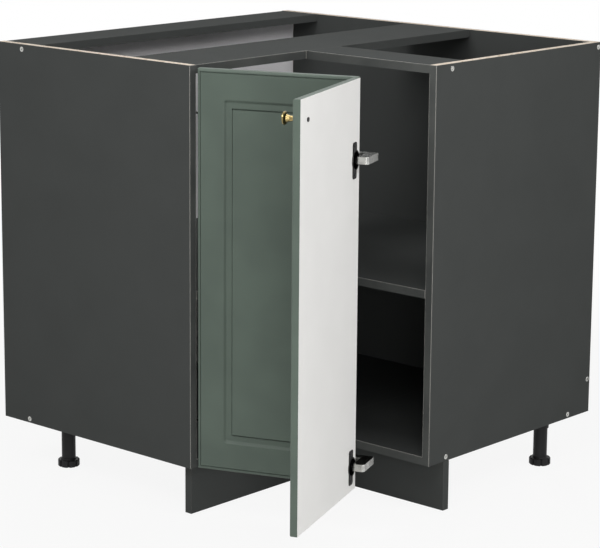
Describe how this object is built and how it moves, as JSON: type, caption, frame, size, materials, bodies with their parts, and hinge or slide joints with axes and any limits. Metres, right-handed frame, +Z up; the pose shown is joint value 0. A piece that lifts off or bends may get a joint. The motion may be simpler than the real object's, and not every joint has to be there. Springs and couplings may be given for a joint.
{
  "type": "corner base cabinet",
  "caption": "L-shaped corner base cabinet with an open-topped board carcass, a shelf, levelling legs, a plinth and a pair of hinged milled front leaves with a brass knob.",
  "frame": {"origin": "lower rear corner of the body, where the two room walls meet, at the underside of the boards; the floor is 100 mm below", "axes": "+Z up, +X along the right-hand wall, -Y along the left-hand wall; the open inner corner faces +X and -Y"},
  "size_m": [0.9463, 1.0168, 0.868],
  "materials": {
    "charcoal_board": "matt charcoal melamine on chipboard",
    "charcoal_band": "matt edge band",
    "grey_sheet": "light grey lacquered fibreboard",
    "beech": "fluted beech",
    "nickel_steel": "nickel plated",
    "black_cup": "satin black",
    "black_plastic": "moulded",
    "green_front": "matt green foil on milled fibreboard, white back",
    "brass": "satin"
  },
  "bodies": {
    "cabinet": {"end_panel_left": "charcoal_board", "end_panel_right": "charcoal_board", "back_panel": "charcoal_board", "back_board": "grey_sheet", "bottom_left": "charcoal_board", "bottom_right": "charcoal_board", "shelf": "charcoal_board", "shelf_pins": "nickel_steel", "back_rail": "charcoal_board", "front_rail_long": "charcoal_board", "front_rail_short": "charcoal_board", "edge_bands": "charcoal_band", "carcass_screws": "nickel_steel", "carcass_dowels": "beech", "plinth_left": "charcoal_board", "plinth_right": "charcoal_board", "plinth_clips": "black_plastic", "leg_sockets": "black_plastic", "leg_screws": "nickel_steel", "leg_columns": "black_plastic", "side_hinge_plates": "nickel_steel", "side_hinge_arms": "nickel_steel", "side_plate_screws": "nickel_steel", "side_arm_pins": "nickel_steel"},
    "leaf_inner": {"door_leaf_inner": "green_front", "side_hinge_cups": "nickel_steel", "side_cup_screws": "nickel_steel", "side_cup_pins": "nickel_steel", "fold_hinge_plates": "nickel_steel", "fold_plate_screws": "nickel_steel", "fold_hinge_arms": "nickel_steel"},
    "leaf_outer": {"door_leaf_outer": "green_front", "fold_hinge_cups": "black_cup", "fold_cup_screws": "nickel_steel", "fold_hinge_pins": "nickel_steel", "knob": "brass", "knob_screw": "nickel_steel"},
    "side_links_1": {"side_links_arm": "nickel_steel"},
    "side_links_2": {"side_links_cup": "nickel_steel"},
    "foot_rear": {"foot_rear": "black_plastic"},
    "foot_left_rear": {"foot_left_rear": "black_plastic"},
    "foot_left_front": {"foot_left_front": "black_plastic"},
    "foot_inner": {"foot_inner": "black_plastic"},
    "foot_right_front": {"foot_right_front": "black_plastic"},
    "foot_right_rear": {"foot_right_rear": "black_plastic"}
  },
  "joints": [
    {"name": "pair_swing", "type": "hinge", "parent": "cabinet", "child": "leaf_inner", "pos_m": [0.549, -0.8434, 0.384], "axis": [0, 0, -1], "range_deg": [-69, 41]},
    {"name": "leaf_fold", "type": "hinge", "parent": "leaf_inner", "child": "leaf_outer", "pos_m": [0.83335, -0.74367, 0.384], "axis": [0, 0, -1], "range_deg": [0, 60]},
    {"name": "side_link_swing", "type": "hinge", "parent": "cabinet", "child": "side_links_1", "pos_m": [0.5284, -0.8225, 0.384], "axis": [0, 0, -1], "range_deg": [-69, 41]},
    {"name": "side_link_knee", "type": "hinge", "parent": "side_links_1", "child": "side_links_2", "pos_m": [0.54146, -0.80517, 0.384], "axis": [0, 0, -1], "range_deg": [-41, 69]},
    {"name": "foot_rear_turn", "type": "hinge", "parent": "cabinet", "child": "foot_rear", "pos_m": [0.07, -0.07, -0.1], "axis": [0, 0, 1], "continuous": true},
    {"name": "foot_left_rear_turn", "type": "hinge", "parent": "cabinet", "child": "foot_left_rear", "pos_m": [0.106, -0.774, -0.1], "axis": [0, 0, 1], "continuous": true},
    {"name": "foot_left_front_turn", "type": "hinge", "parent": "cabinet", "child": "foot_left_front", "pos_m": [0.46, -0.753, -0.1], "axis": [0, 0, 1], "continuous": true},
    {"name": "foot_inner_turn", "type": "hinge", "parent": "cabinet", "child": "foot_inner", "pos_m": [0.46, -0.49, -0.1], "axis": [0, 0, 1], "continuous": true},
    {"name": "foot_right_front_turn", "type": "hinge", "parent": "cabinet", "child": "foot_right_front", "pos_m": [0.786, -0.433, -0.1], "axis": [0, 0, 1], "continuous": true},
    {"name": "foot_right_rear_turn", "type": "hinge", "parent": "cabinet", "child": "foot_right_rear", "pos_m": [0.804, -0.103, -0.1], "axis": [0, 0, 1], "continuous": true}
  ],
  "couplings": [
    {"joint": "side_link_swing", "follows": "pair_swing", "ratio": 1},
    {"joint": "side_link_knee", "follows": "pair_swing", "ratio": -1}
  ]
}
